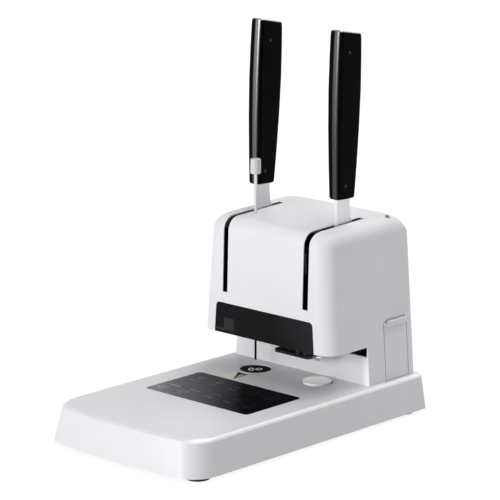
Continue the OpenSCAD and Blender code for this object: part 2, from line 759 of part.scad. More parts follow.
// Rack in the Y-Z plane: teeth face +Y, with a space centred on the shaft's height
module rack_profile(m, z0, z1, depth) {
    pitch = PI * m;
    y_pitch = shaft_y - m * pinion_teeth / 2;
    half_tip = pitch / 4 - tooth_play / 4 - 0.9 * m * tan(pressure);
    half_root = pitch / 4 - tooth_play / 4 + 1.25 * m * tan(pressure);
    first = ceil((z0 - shaft_z) / pitch);
    last = floor((z1 - shaft_z) / pitch) - 1;
    y_root = y_pitch - 1.25 * m;
    polygon(concat([[y_root - depth, z0], [y_root, z0]],
        [for (k = [first:last]) let (zc = shaft_z + (k + 0.5) * pitch)
            for (p = [[y_root, -half_root], [y_pitch + 0.9 * m, -half_tip],
                [y_pitch + 0.9 * m, half_tip], [y_root, half_root]]) [p[0], zc + p[1]]],
        [[y_root, z1], [y_root - depth, z1]]));
}

// How far a carriage moves when its lever swings all the way
function travel(m) = m * pinion_teeth / 2 * lever_swing * PI / 180;
// A rack still meshes at the end of its travel
function rack_top(m) = shaft_z + travel(m) + 1.5 * PI * m;
pinion_x = [58, 66];    // both pinions lie between these distances from the middle plane
pinion_bore = shaft_d + 2 * run_gap;
sleeve_d = 18;
module lever_pinion(s, m) {
    x0 = s > 0 ? pinion_x[0] : -pinion_x[1];
    sleeve_in = lever_x + bar_t / 2 + seat_gap;
    sleeve_out = frame_x - 0.4;
    color(steel) difference() {
        union() {
            translate([0, shaft_y, shaft_z]) side_profile(x0, pinion_x[1] - pinion_x[0])
                pinion_profile(m, pinion_teeth);
            along_x(s > 0 ? sleeve_in : -sleeve_out, s > 0 ? sleeve_out : -sleeve_in,
                shaft_y, shaft_z, sleeve_d);
        }
        along_x(-90, 90, shaft_y, shaft_z, pinion_bore);
    }
}
module drill_pinion() { lever_pinion(-1, drill_module); }
module rivet_pinion() { lever_pinion(1, rivet_module); }

// ---- levers --------------------------------------------------------------
hub_d = 28;
bar_front = shaft_y - bar_w / 2;
bar_back = shaft_y + bar_w / 2;
grip_left_of_bar = 2.2; // both grips sit this far left of their bars, clear of the needle's knob
grip_y = shaft_y + 2.3;
tang_y = -2.5;      // middle of the tang, from the grip's own axis
tang_w = 10;
tang_t = bar_t - 0.4;
tang_len = 0.93;    // share of the grip that the tang reaches into
screw_at = [0.08, 0.88];
screw_d = 2.4;
screw_head_d = 3.4;
head_drop = 0.3;    // the screw heads lie this far under the grip's sides

// The grip's own frame: its axis is local Z, its lower end local zero
module grip_frame(s, lean) {
    translate([s * lever_x - grip_left_of_bar, grip_y, grip_bottom]) rotate([-lean, 0, 0]) children();
}
module tang(s, grow) {
    x = grip_left_of_bar;
    block(x - tang_t / 2 - grow, x + tang_t / 2 + grow, tang_y - tang_w / 2 - grow,
        tang_y + tang_w / 2 + grow, -3, tang_len * grip_len + grow);
}

// Height of a bar's upper end, which follows the grip's leaning lower face
function bar_top(y, lean) = grip_bottom - 0.06 - tan(lean) * (y - grip_y);
module lever_bar(s, lean) {
    x0 = s * lever_x - bar_t / 2;
    color(steel) difference() {
        union() {
            side_profile(x0, bar_t) polygon([[bar_front, shaft_z], [bar_front, bar_top(bar_front, lean)],
                [bar_back, bar_top(bar_back, lean)], [bar_back, grip_bottom - 5],
                [bar_back + 1.4, grip_bottom - 19], [bar_back + 5, grip_bottom - 26],
                [bar_back + 6, grip_bottom - 40], [bar_back + 3, shaft_z]]);
            along_x(x0, x0 + bar_t, shaft_y, shaft_z, hub_d);
            // inner boss that steadies the bar on the shaft
            along_x(s * (lever_x - 3) - 3, s * (lever_x - 3) + 3, shaft_y, shaft_z, sleeve_d);
            grip_frame(s, lean) tang(s, 0);
        }
        along_x(-90, 90, shaft_y, shaft_z, pinion_bore);
        grip_frame(s, lean) for (f = screw_at)
            along_x(-30, 30, tang_y, f * grip_len, screw_d + 2 * seat_gap);
    }
}
module lever_bar_left() { lever_bar(-1, grip_lean_left); }
module lever_bar_right() { lever_bar(1, grip_lean_right); }

// Grip section: a rectangle of depth a along Y and thickness b along X, with round edges
grip_edge_r = 4.6;
function grip_section(a, b) = let (r = min(grip_edge_r, b / 2 - 2)) plan(b / 2, -a / 2, a / 2, r, r);
// Height along the grip as a share of its length, then its depth and thickness
grip_form = [[0, 23.6, 11.8], [0.005, 25.4, 13.4], [0.014, 26.2, 14], [0.2, 29.6, 14.8],
    [0.42, 32.6, 15.6], [0.65, 34.2, 16], [0.85, 33.6, 15.8], [0.97, 32.7, 15.5],
    [0.993, 32, 14.9], [1, 30, 13]];
// Thickness of the grip at a share f of its length
function grip_thickness(f) = lookup(f, [for (g = grip_form) [g[0], g[2]]]);
top_slope = 9;      // the grip's top end falls to the rear by this many degrees
module grip(s, lean) {
    color(black) difference() {
        grip_frame(s, lean) hull() for (f = grip_form) translate([0, 0, f[0] * grip_len])
            rotate([-top_slope * pow(f[0], 6), 0, 0]) linear_extrude(eps)
                polygon(grip_section(f[1], f[2]));
        grip_frame(s, lean) {
            tang(s, seat_gap);
            for (f = screw_at) {
                along_x(-30, 30, tang_y, f * grip_len, screw_d + 2 * seat_gap);
                for (k = [-1, 1]) let (x = k * (grip_thickness(f) / 2 - head_drop))
                    along_x(min(x - k * 1.6, x + k * 9), max(x - k * 1.6, x + k * 9), tang_y, f * grip_len,
                        screw_head_d + 0.3);
            }
        }
    }
}
module grip_left() { grip(-1, grip_lean_left); }
module grip_right() { grip(1, grip_lean_right); }

module grip_screws(s, lean) {
    color(steel) grip_frame(s, lean) for (f = screw_at) let (x = grip_thickness(f) / 2 - head_drop) {
        along_x(-x + 0.5, x - 0.5, tang_y, f * grip_len, screw_d);
        for (k = [-1, 1]) along_x(k * (x - 0.8) - 0.8, k * (x - 0.8) + 0.8, tang_y, f * grip_len,
            screw_head_d);
    }
}
module grip_screws_left() { grip_screws(-1, grip_lean_left); }
module grip_screws_right() { grip_screws(1, grip_lean_right); }

// ---- drill carriage ------------------------------------------------------
slide_z = [126, 166];
housing_w = 14.8;
motor_x = 0;
motor_y = 62;
motor_d = 27;
motor_h = 36;
rack_depth = 2.4;
spindle_d = 7;
spindle_bush_d = 10.6;
// Arm that reaches past the lever bar, low enough to stay under it, and holds the rack
module slide_wing(s, z0, z1, y_rack) {
    x0 = s > 0 ? rod_x[1] : -pinion_x[1];
    x1 = s > 0 ? pinion_x[1] : -rod_x[1];
    block(x0, x1, rod_y - 6, rod_y + 6.5, z0, z1);
    block(s > 0 ? pinion_x[0] : -pinion_x[1], s > 0 ? pinion_x[1] : -pinion_x[0], rod_y, y_rack, z0, z1);
}

module slide_bores(s, z0, z1) {
    for (x = rod_x) upright(s * x, rod_y, z0, z1, guide_d + 2 * run_gap);
}
module drill_slide() {
    y_rack = shaft_y - drill_module * (pinion_teeth / 2 + 1.25) - rack_depth;
    color(black) difference() {
        union() {
            block(-rod_x[1] - 6, -rod_x[0] + 5, rod_y - 6, rod_y + 6.5, slide_z[0], slide_z[1]);
            block(drill_x - housing_w / 2, drill_x + housing_w / 2, rod_y, work_y + 8, slide_z[0],
                slide_z[1]);
            slide_wing(-1, slide_z[0], slide_z[0] + 20, y_rack);
            // bracket under the motor
            block(-rod_x[0] + 4.9, motor_x + motor_d / 2, rod_y - 3, motor_y, slide_z[0], slide_z[0] + 3);
            upright(motor_x, motor_y, slide_z[0], slide_z[0] + 3, motor_d + 0.6);
        }
        slide_bores(-1, 100, 200);
        upright(drill_x, work_y, 100, 200, spindle_bush_d + 2 * seat_gap);
        upright(motor_x, motor_y, 100, slide_z[0] + 3, 8);
    }
}

module drill_rack() {
    color(steel) side_profile(-pinion_x[1], pinion_x[1] - pinion_x[0])
        rack_profile(drill_module, slide_z[0] - 4, rack_top(drill_module), rack_depth);
}

module drive_motor() {
    color(steel) difference() {
        union() {
            upright(motor_x, motor_y, slide_z[0] + 3, slide_z[0] + 3 + motor_h, motor_d);
            upright(motor_x, motor_y, slide_z[0] + 3 + motor_h, slide_z[0] + 5 + motor_h, 10);
        }
        upright(motor_x, motor_y, 100, slide_z[0] + 20, 3 + 2 * run_gap);
    }
}

belt_z = [119.6, 123.2];
spindle_pulley_r = 9.5;
motor_pulley_r = 6.5;
belt_t = 1.2;
belt_gap = 0.12;
module belt_outline(grow) {
    hull() {
        translate([drill_x, work_y]) circle(r = spindle_pulley_r + grow, $fn = 64);
        translate([motor_x, motor_y]) circle(r = motor_pulley_r + grow, $fn = 48);
    }
}
module drive_belt() {
    color(black) translate([0, 0, belt_z[0]]) linear_extrude(belt_z[1] - belt_z[0]) difference() {
        belt_outline(belt_gap + belt_t);
        belt_outline(belt_gap);
    }
}

module pulley(x, y, r, z_hub, bore) {
    difference() {
        union() {
            upright(x, y, belt_z[0] - 0.3, belt_z[1] + 0.3, 2 * r);
            for (z = [belt_z[0] - 1.2, belt_z[1] + 0.3]) upright(x, y, z, z + 0.9, 2 * r + 4);
            upright(x, y, z_hub, belt_z[0], r * 1.4);
        }
        upright(x, y, 90, 140, bore);
    }
}

module spindle_bearings() {
    color(brass_tone) for (z = [slide_z[0], slide_z[1] - 12]) difference() {
        upright(drill_x, work_y, z, z + 12, spindle_bush_d);
        upright(drill_x, work_y, z - 1, z + 13, spindle_d + 2 * run_gap);
    }
}

chuck_d = 16;
chuck_z = [104, 115.5];
needle_bore = rod_d + 2 * free_gap;
module drill_spindle() {
    color(steel) difference() {
        union() {
            upright(drill_x, work_y, chuck_z[0] + 6, slide_z[1] + 3, spindle_d);
            upright(drill_x, work_y, slide_z[1] + 0.2, slide_z[1] + 2.2, spindle_d + 3);
        }
        upright(drill_x, work_y, 90, 200, needle_bore);
    }
}

module spindle_pulley() {
    color(steel) pulley(drill_x, work_y, spindle_pulley_r, chuck_z[1] + 0.1, spindle_d + 2 * seat_gap);
}

module motor_pulley() {
    color(steel) {
        pulley(motor_x, motor_y, motor_pulley_r, belt_z[0] - 1.2, 0);
        upright(motor_x, motor_y, belt_z[1], slide_z[0] + 18, 3);
    }
}

module drill_chuck() {
    color(dark_steel) difference() {
        translate([drill_x, work_y, chuck_z[0]]) rotate_extrude($fn = 64)
            polygon([[0, 0], [chuck_d / 2 - 3, 0], [chuck_d / 2, 3], [chuck_d / 2, chuck_z[1] - chuck_z[0]],
                [0, chuck_z[1] - chuck_z[0]]]);
        upright(drill_x, work_y, chuck_z[0] + 6 - seat_gap, chuck_z[1] + 1, spindle_d + 2 * seat_gap);
        upright(drill_x, work_y, 90, chuck_z[1], drill_d + 2 * seat_gap);
    }
}

module hollow_drill() {
    drill_h = chuck_z[0] + 6 - 2 * seat_gap - drill_tip_z;
    color(steel) difference() {
        translate([drill_x, work_y, drill_tip_z]) rotate_extrude($fn = 48)
            polygon([[0, 0], [needle_bore / 2 + 0.15, 0], [drill_d / 2, 2], [drill_d / 2, drill_h],
                [0, drill_h]]);
        upright(drill_x, work_y, 60, 120, needle_bore);
    }
}

// ---- riveting carriage ---------------------------------------------------
rivet_slide_z = [112, 150];
heater_d = 18;
heater_z = [66, 84];
ram_d = 14;
press_post_x = [18.5, 27.5];
press_post_y = 68;
press_post_d = 5;
press_x = [-12.5, 34.4];
press_y = [65, 79];
press_z = [60.2, 63.3];
module rivet_slide() {
    y_rack = shaft_y - rivet_module * (pinion_teeth / 2 + 1.25) - rack_depth;
    color(black) difference() {
        union() {
            block(rod_x[0] - 2.8, rod_x[1] + 6, rod_y - 6, rod_y + 6.5, rivet_slide_z[0], rivet_slide_z[1]);
            block(die_x - 8, die_x + 7.6, rod_y, work_y + 8, rivet_slide_z[0], rivet_slide_z[1]);
            slide_wing(1, rivet_slide_z[0], rivet_slide_z[0] + 25, y_rack);
            upright(die_x, work_y, heater_z[1], rivet_slide_z[0] + 1, ram_d);
            // arm that carries the press posts
            block(press_post_x[0] - 3, die_x, rod_y, press_post_y + 4, rivet_slide_z[0],
                rivet_slide_z[0] + 4);
        }
        slide_bores(1, 100, 200);
        for (x = press_post_x) upright(x, press_post_y, 100, rivet_slide_z[0] + 3,
            press_post_d + 2 * seat_gap);
    }
}

module rivet_rack() {
    color(steel) side_profile(pinion_x[0], pinion_x[1] - pinion_x[0])
        rack_profile(rivet_module, rivet_slide_z[0] + 6, rack_top(rivet_module), rack_depth);
}

module die_heater() {
    color(dark_steel) difference() {
        upright(die_x, work_y, heater_z[0], heater_z[1], heater_d);
        upright(die_x, work_y, heater_z[0] - 1, heater_z[0] + 10, 8 + 2 * seat_gap);
    }
}

module upper_die() {
    neck = heater_z[0] - die_tip_z;     // the die's shank goes into the heater from here up
    color(steel) translate([die_x, work_y, die_tip_z]) rotate_extrude($fn = 48)
        polygon([[0, 0.6], [1.2, 0.6], [1.8, 0], [2.6, 0], [4.9, 3], [4.9, neck], [4, neck],
            [4, neck + 9.5], [0, neck + 9.5]]);
}

module paper_press() {
    color(black) {
        rounded_plate(press_x[0], press_x[1], press_y[0], press_y[1], press_z[0], press_z[1], 4.5);
        for (x = press_post_x) upright(x, press_post_y, press_z[1], rivet_slide_z[0] + 2.9, press_post_d);
    }
}

// ---- springs -------------------------------------------------------------
// A compression spring round an upright axis: one unbroken tube of wire
wire_d = 1;
// As many turns as lie side by side in the room left at the end of the travel
function turns_for(z1, m) = floor((z1 - lower_z - lower_t - travel(m)) / wire_d) - 1;
function spring_path(r, h, n) = [for (i = [0:8 * n]) let (t = i / (8 * n), a = 45 * i,
    z = wire_d / 2 + (h - wire_d) * t) [r * cos(a), r * sin(a), z]];
module spring_tube(r, h, turns) {
    path = spring_path(r, h, turns);
    sides = 6;
    count = len(path);
    gap = (h - wire_d) / turns - wire_d;
    echo(spring_least_gap = gap);
    points = [for (i = [0:count - 1]) let (p = path[i], a = 45 * i) for (j = [0:sides - 1])
        let (b = 360 * j / sides) p + wire_d / 2 * [cos(b) * cos(a), cos(b) * sin(a), sin(b)]];
    walls = [for (i = [0:count - 2], j = [0:sides - 1]) let (k = (j + 1) % sides,
        p = i * sides) each [[p + j, p + sides + j, p + k], [p + k, p + sides + j, p + sides + k]]];
    start = [for (j = [1:sides - 2]) [0, j, j + 1]];
    end = [for (j = [1:sides - 2]) let (p = (count - 1) * sides) [p, p + j + 1, p + j]];
    polyhedron(points, concat(walls, start, end), convexity = 10);
}
module return_spring(x, z1, turns) {
    color(dark_steel) translate([x, rod_y, lower_z + lower_t + seat_gap])
        spring_tube(guide_d / 2 + 1.4, z1 - lower_z - lower_t - 2 * seat_gap, turns);
}
module drill_return_spring() {
    return_spring(-rod_x[1], slide_z[0], turns_for(slide_z[0], drill_module));
}
module rivet_return_spring() {
    return_spring(rod_x[1], rivet_slide_z[0], turns_for(rivet_slide_z[0], rivet_module));
}

// ---- clearing needle -----------------------------------------------------
needle_d = 2.2;
module clearing_needle() {
    color(steel) union() {
        upright(drill_x, work_y, needle_tip_z, chuck_z[0], needle_d);
        upright(drill_x, work_y, chuck_z[0] - 1, knob_z + 8, rod_d);
    }
}

knob_d = 10;
knob_h = 14.6;
module needle_knob() {
    color(white) difference() {
        translate([drill_x, work_y, knob_z]) rotate_extrude($fn = 48)
            polygon([[0, 0], [knob_d / 2 - 0.4, 0], [knob_d / 2, 0.4], [knob_d / 2, knob_h - 0.6],
                [knob_d / 2 - 0.6, knob_h], [0, knob_h]]);
        upright(drill_x, work_y, knob_z - 1, knob_z + 8 + seat_gap, rod_d + 2 * seat_gap);
    }
}

// ---- drawer --------------------------------------------------------------
front_t = 3;
lip_out = 3.6;      // how far the lip stands out from the side wall
box_x0 = 20;
box_y = [drawer_y0 + 2.5, drawer_y1 - 4];
box_z = [base_top + 0.3, 82];
module drawer_front() {
    color(white) union() {
        intersection() {
            difference() {
                side_solid();
                translate([-front_t, 0, 0]) side_solid();
            }
            drawer_cut(0);
        }
        // hooked finger lip that stands up from the top edge
        side_cut(drawer_y0 + 3, drawer_y1 - 2) polygon([[-1.4, -4], [0.3, -4], [3, -1.6],
            [lip_out, 0.6], [lip_out, 2.2], [lip_out - 0.7, 2.9], [lip_out - 1.8, 2.6], [0.5, -0.4],
            [-1.4, -0.4]]);
    }
}

module drawer_box() {
    t = 1.8;
    x1 = half_at(box_z[1]) - front_t;
    color([0.85, 0.85, 0.86]) difference() {
        intersection() {
            block(box_x0, x1 + 9, box_y[0], box_y[1], box_z[0], box_z[1]);
            translate([-front_t - 0.02, 0, 0]) side_solid();
        }
        block(box_x0 + t, x1 - t, box_y[0] + t, box_y[1] - t, box_z[0] + t, box_z[1] + 5);
    }
}

base_shell();
bottom_plate();
rubber_feet();
touch_panel();
control_board();
tube_gauge();
mat_ring();
drill_mat();
die_cap();
lower_die();
lower_heater();
throat_panel();
head_shell();
rear_cover();
under_cover();
smoked_window();
side_frame_left();
side_frame_right();
lower_guide_plate();
upper_guide_plate();
lever_shaft();
drill_guide_rods();
rivet_guide_rods();
needle_bush();
power_supply();
mains_inlet();
switch_frame();
switch_rocker();
case_screws();
lever_bar_left();
drill_pinion();
grip_left();
grip_screws_left();
lever_bar_right();
rivet_pinion();
grip_right();
grip_screws_right();
drill_slide();
drill_rack();
drive_motor();
drive_belt();
spindle_bearings();
drill_spindle();
drill_chuck();
hollow_drill();
spindle_pulley();
motor_pulley();
rivet_slide();
rivet_rack();
die_heater();
upper_die();
paper_press();
drill_return_spring();
rivet_return_spring();
clearing_needle();
needle_knob();
drawer_front();
drawer_box();
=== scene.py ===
"""Looks for the document riveting machine: finishes, small fittings, studio and camera.

Everything is in metres in the part's own frame: +X is the machine's right, -Y its front,
+Z up, and the desk lies at Z = 0. Sizes on the machine are written in millimetres and
multiplied by MM; the studio's are written in metres.
"""

import json
from math import cos, radians, sin, tau

import bmesh
import bpy
from mathutils import Matrix, Vector

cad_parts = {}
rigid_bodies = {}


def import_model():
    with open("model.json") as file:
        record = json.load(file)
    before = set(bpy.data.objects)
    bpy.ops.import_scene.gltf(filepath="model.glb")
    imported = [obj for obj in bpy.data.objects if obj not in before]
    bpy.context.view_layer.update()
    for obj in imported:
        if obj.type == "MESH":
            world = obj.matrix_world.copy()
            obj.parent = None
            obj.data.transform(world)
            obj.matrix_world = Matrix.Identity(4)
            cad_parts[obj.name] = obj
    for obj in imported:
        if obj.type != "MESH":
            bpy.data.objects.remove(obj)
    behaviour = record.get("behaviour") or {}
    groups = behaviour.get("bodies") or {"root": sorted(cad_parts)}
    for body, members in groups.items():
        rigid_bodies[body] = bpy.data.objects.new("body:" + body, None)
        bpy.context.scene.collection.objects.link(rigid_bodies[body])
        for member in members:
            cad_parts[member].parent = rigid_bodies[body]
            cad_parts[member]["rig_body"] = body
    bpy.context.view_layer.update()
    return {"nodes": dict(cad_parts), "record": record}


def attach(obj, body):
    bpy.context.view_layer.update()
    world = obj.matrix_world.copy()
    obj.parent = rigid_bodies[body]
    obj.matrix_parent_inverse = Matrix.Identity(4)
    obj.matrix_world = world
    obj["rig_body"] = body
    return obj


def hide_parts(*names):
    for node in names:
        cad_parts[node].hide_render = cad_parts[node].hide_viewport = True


MM = 0.001
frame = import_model()
scene = bpy.context.scene
NODES = frame["nodes"]


# ---- materials ---------------------------------------------------------------
class Finish:
    """A node material with one Principled shader, built up in a maker's terms."""

    def __init__(self, name, color, roughness=0.5, metallic=0.0, coat=0.0, specular=0.5):
        self.material = bpy.data.materials.new(name)
        self.material.use_nodes = True
        self.tree = self.material.node_tree
        self.shader = self.tree.nodes["Principled BSDF"]
        self.color = color
        self.roughness = roughness
        self.shader.inputs["Base Color"].default_value = (*color, 1)
        self.shader.inputs["Roughness"].default_value = roughness
        self.shader.inputs["Metallic"].default_value = metallic
        self.shader.inputs["Coat Weight"].default_value = coat
        self.shader.inputs["Coat Roughness"].default_value = 0.12
        self.shader.inputs["Specular IOR Level"].default_value = specular
        self.material.diffuse_color = (*color, 1)
        self.place = self.node("ShaderNodeTexCoord").outputs["Object"]
        self.last_bump = None

    def node(self, kind, **settings):
        made = self.tree.nodes.new(kind)
        for key, value in settings.items():
            setattr(made, key, value)
        return made

    def join(self, source, target):
        self.tree.links.new(source, target)

    def stretched(self, scale, turn=(0, 0, 0)):
        mapping = self.node("ShaderNodeMapping")
        mapping.inputs["Scale"].default_value = scale
        mapping.inputs["Rotation"].default_value = turn
        self.join(self.place, mapping.inputs["Vector"])
        return mapping.outputs["Vector"]

    def noise(self, grain_mm, detail=3.0, vector=None, soft=0.55):
        """A noise whose features are about grain_mm across, as a value from 0 to 1."""
        noise = self.node("ShaderNodeTexNoise")
        noise.inputs["Scale"].default_value = 1 / (grain_mm * MM)
        noise.inputs["Detail"].default_value = detail
        noise.inputs["Roughness"].default_value = soft
        self.join(vector or self.place, noise.inputs["Vector"])
        return noise.outputs["Fac"]

    def spread(self, value, low, high, start=0.3, end=0.7):
        """The value mapped from start..end to low..high."""
        ranger = self.node("ShaderNodeMapRange")
        for name, number in (("From Min", start), ("From Max", end),
                             ("To Min", low), ("To Max", high)):
            ranger.inputs[name].default_value = number
        self.join(value, ranger.inputs["Value"])
        return ranger.outputs["Result"]

    def blend(self, factor, first, second):
        mixer = self.node("ShaderNodeMix", data_type="RGBA")
        self.join(factor, mixer.inputs["Factor"])
        for color, socket in ((first, mixer.inputs["A"]), (second, mixer.inputs["B"])):
            if isinstance(color, tuple):
                socket.default_value = (*color, 1)
            else:
                self.join(color, socket)
        return mixer.outputs["Result"]

    def vary_color(self, grain_mm, amount, detail=3.0, vector=None):
        """Colour that drifts by the given share either side of the base colour."""
        darker = tuple(c * (1 - amount) for c in self.color)
        lighter = tuple(min(1, c * (1 + amount)) for c in self.color)
        drift = self.spread(self.noise(grain_mm, detail, vector), 0, 1)
        result = self.blend(drift, darker, lighter)
        self.join(result, self.shader.inputs["Base Color"])
        return result

    def vary_roughness(self, grain_mm, amount, detail=3.0, vector=None):
        value = self.spread(self.noise(grain_mm, detail, vector), self.roughness - amount,
                            self.roughness + amount)
        self.join(value, self.shader.inputs["Roughness"])

    def bump(self, height, depth_mm, strength=0.5):
        bump = self.node("ShaderNodeBump")
        bump.inputs["Distance"].default_value = depth_mm * MM
        bump.inputs["Strength"].default_value = strength
        self.join(height, bump.inputs["Height"])
        if self.last_bump:
            self.join(self.last_bump, bump.inputs["Normal"])
        self.last_bump = bump.outputs["Normal"]
        self.join(self.last_bump, self.shader.inputs["Normal"])

    def inside(self, axis, low_mm, high_mm, soft_mm=0.15):
        """1 where the object coordinate on an axis lies between two values, else 0."""
        parts = self.node("ShaderNodeSeparateXYZ")
        self.join(self.place, parts.inputs["Vector"])
        value = parts.outputs[axis]
        rise = self.spread(value, 0, 1, (low_mm - soft_mm) * MM, (low_mm + soft_mm) * MM)
        fall = self.spread(value, 1, 0, (high_mm - soft_mm) * MM, (high_mm + soft_mm) * MM)
        return self.both(rise, fall)

    def slanted(self, x_share, y_share, low_mm, high_mm):
        """0 to 1 along a level direction, between two distances from the origin."""
        parts = self.node("ShaderNodeSeparateXYZ")
        self.join(self.place, parts.inputs["Vector"])
        total = None
        for axis, share in (("X", x_share), ("Y", y_share)):
            scaled = self.node("ShaderNodeMath", operation="MULTIPLY_ADD")
            scaled.inputs[1].default_value = share
            scaled.inputs[2].default_value = 0
            self.join(parts.outputs[axis], scaled.inputs[0])
            if total:
                self.join(total, scaled.inputs[2])
            total = scaled.outputs["Value"]
        return self.spread(total, 0, 1, low_mm * MM, high_mm * MM)

    def both(self, first, second):
        product = self.node("ShaderNodeMath", operation="MULTIPLY")
        self.join(first, product.inputs[0])
        self.join(second, product.inputs[1])
        return product.outputs["Value"]


LOWER_BLACK = (0.008, 0.008, 0.009)
PAINTED_EDGE_HIGHLIGHT = (0.97, 0.97, 0.98)
RIGHT_SIDE = (82, 120)          # X of what belongs to the right side
GAUGE_PAINTED_SHADE = (0.035, 0.032, 0.02)
GRIP_BAND = (-0.1, 0.12, 0.5, 0.78)     # where the bright band starts and ends on the grip's map
GRIP_MAP_TOP = 2                        # V of the grip's top on that map
PHOTO_RIGHT = (0.731, 0.682)            # the level direction that runs to the photograph's right


def moulded_plastic(name, color, roughness, grain_mm=0.5, depth_mm=0.02, coat=0.0, drift=0.012,
                    specular=0.5, edge=None, sheen=0.0):
    """Injection-moulded plastic: a fine spark-eroded grain, slow drift in shade and gloss.

    An edge (axis, low, high, z low, z high) paints a paler strip on the right side, a painted
    highlight where the photograph shows a light edge."""
    finish = Finish(name, color, roughness, coat=coat, specular=specular)
    finish.shader.inputs["Sheen Weight"].default_value = sheen
    shade = finish.vary_color(45, drift)
    if edge:
        axis, low, high, z_low, z_high = edge
        strip = finish.both(finish.inside(axis, low, high, 0.2), finish.inside("Z", z_low, z_high))
        strip = finish.both(strip, finish.inside("X", *RIGHT_SIDE, 4))
        finish.join(finish.blend(strip, shade, PAINTED_EDGE_HIGHLIGHT),
                    finish.shader.inputs["Base Color"])
    finish.vary_roughness(12, 0.05)
    finish.bump(finish.noise(grain_mm, 2), depth_mm, 0.25)
    finish.bump(finish.noise(60, 1), 0.15, 0.12)
    return finish.material


def brushed_metal(name, color, roughness, along, line_mm=0.25, black_below_mm=None):
    """Metal with fine lines that run along one axis, near black below a height if one is given."""
    finish = Finish(name, color, roughness, metallic=1.0)
    scale = [1.0, 1.0, 1.0]
    scale["XYZ".index(along)] = 0.02
    lines = finish.stretched(tuple(scale))
    shade = finish.vary_color(line_mm, 0.09, vector=lines)
    if black_below_mm is not None:
        above_black_end = finish.inside("Z", black_below_mm, 400, 0.8)
        finish.join(finish.blend(above_black_end, LOWER_BLACK, shade), finish.shader.inputs["Base Color"])
    finish.vary_roughness(line_mm, 0.08, vector=lines)
    finish.bump(finish.noise(line_mm, 2, lines), 0.01, 0.3)
    return finish.material


def turned_metal(name, color, roughness, scuff=0.1):
    """Machined metal with a little cloudiness and fine scuffs."""
    finish = Finish(name, color, roughness, metallic=1.0)
    finish.vary_color(8, 0.05)
    finish.vary_roughness(3, scuff)
    finish.bump(finish.noise(0.3, 2), 0.008, 0.3)
    return finish.material


def grip_black():
    """Black grip plastic, dull apart from a painted bright band on the front and a bright top.

    The band stands where the photograph shows a highlight, and stays there from every side.

    The grip's own map runs round its section in U (-1 to 1 front, 1 to 2 sides, up to 3 back),
    and up it in V, with GRIP_MAP_TOP on the top."""
    finish = Finish("grip black", (0.0014, 0.0014, 0.0017), 0.28)
    finish.vary_color(20, 0.25)
    own = finish.node("ShaderNodeSeparateXYZ")
    finish.join(finish.node("ShaderNodeTexCoord").outputs["UV"], own.inputs["Vector"])
    start, full, fading, end = GRIP_BAND
    edge = finish.both(finish.spread(own.outputs["X"], 0, 1, start, full),
                       finish.spread(own.outputs["X"], 1, 0, fading, end))
    fade = finish.spread(own.outputs["Y"], 0.5, 1, 0.3, 1)
    grip_share = finish.slanted(1, 0, 40, -40)
    edge = finish.both(finish.both(edge, fade), finish.spread(grip_share, 0.5, 1, 0, 1))
    top = finish.spread(own.outputs["Y"], 0, 1, 1.5, 1.6)
    # polished is the painted highlight mask: the front band and the top, raising specular level and
    # coat.
    polished = finish.node("ShaderNodeMath", operation="MAXIMUM")
    finish.join(edge, polished.inputs[0])
    finish.join(top, polished.inputs[1])
    level = finish.spread(polished.outputs["Value"], 0.02, 1.0, 0, 1)
    finish.join(level, finish.shader.inputs["Specular IOR Level"])
    finish.join(polished.outputs["Value"], finish.shader.inputs["Coat Weight"])
    finish.shader.inputs["Coat IOR"].default_value = 2.0
    finish.shader.inputs["Coat Roughness"].default_value = 0.25
    finish.vary_roughness(9, 0.03)
    scratches = finish.stretched((1, 1, 0.03), (0.05, 0.03, 0))
    finish.bump(finish.noise(1.6, 1, scratches), 0.001, 0.06)
    return finish.material


def gauge_tan():
    """Pale tan plate, with painted shade on its pocket's walls and right rim, as the photograph is.
    """
    finish = Finish("gauge tan", (0.97, 0.91, 0.83), 0.5, specular=0.5)
    shade = finish.vary_color(6, 0.03)
    walls = finish.inside("Z", 36.35, 38.3, 0.05)
    rim = finish.inside("X", -26.45, -25, 0.1)
    finish.join(finish.blend(rim, finish.blend(walls, shade, GAUGE_PAINTED_SHADE), GAUGE_PAINTED_SHADE),
                finish.shader.inputs["Base Color"])
    finish.bump(finish.noise(0.5, 2), 0.02, 0.25)
    return finish.material


def rubber(name, color, roughness=0.75, specular=0.35):
    finish = Finish(name, color, roughness, specular=specular)
    finish.vary_color(6, 0.15)
    finish.vary_roughness(2, 0.08)
    finish.bump(finish.noise(0.35, 3), 0.03, 0.5)
    return finish.material


def panel_black():
    """Glossy film of the touch panel, a little dusty, greyer towards the left by a painted
    reflection.
    """
    finish = Finish("panel film", (0.004, 0.004, 0.005), 0.25, specular=0.0)
    right = finish.slanted(*PHOTO_RIGHT, -72, 6)
    curve = finish.node("ShaderNodeMath", operation="SQRT")
    finish.join(right, curve.inputs[0])
    shade = finish.blend(curve.outputs["Value"], (0.205, 0.196, 0.235), (0.003, 0.003, 0.0045))
    dust = finish.spread(finish.noise(7, 4), 0.82, 1.0)
    finish.join(finish.blend(dust, (0.01, 0.01, 0.011), shade), finish.shader.inputs["Base Color"])
    finish.join(finish.spread(curve.outputs["Value"], 0.03, 0.003, 0, 1),
                finish.shader.inputs["Specular IOR Level"])
    finish.vary_roughness(14, 0.06)
    finish.bump(finish.noise(1.2, 2), 0.006, 0.2)
    return finish.material


def panel_print():
    """Grey ink of the generic marks on the panel, paler at the left by the same painted reflection
    as the film, fading towards the right.
    """
    finish = Finish("panel ink", (0.2, 0.2, 0.22), 0.5, specular=0.0)
    right = finish.slanted(*PHOTO_RIGHT, -72, 10)
    grain = finish.spread(finish.noise(0.8, 2), 0.7, 1.0)
    ink = finish.blend(right, (0.62, 0.6, 0.66), (0.03, 0.03, 0.036))
    finish.join(finish.blend(grain, (0.02, 0.02, 0.02), ink), finish.shader.inputs["Base Color"])
    return finish.material


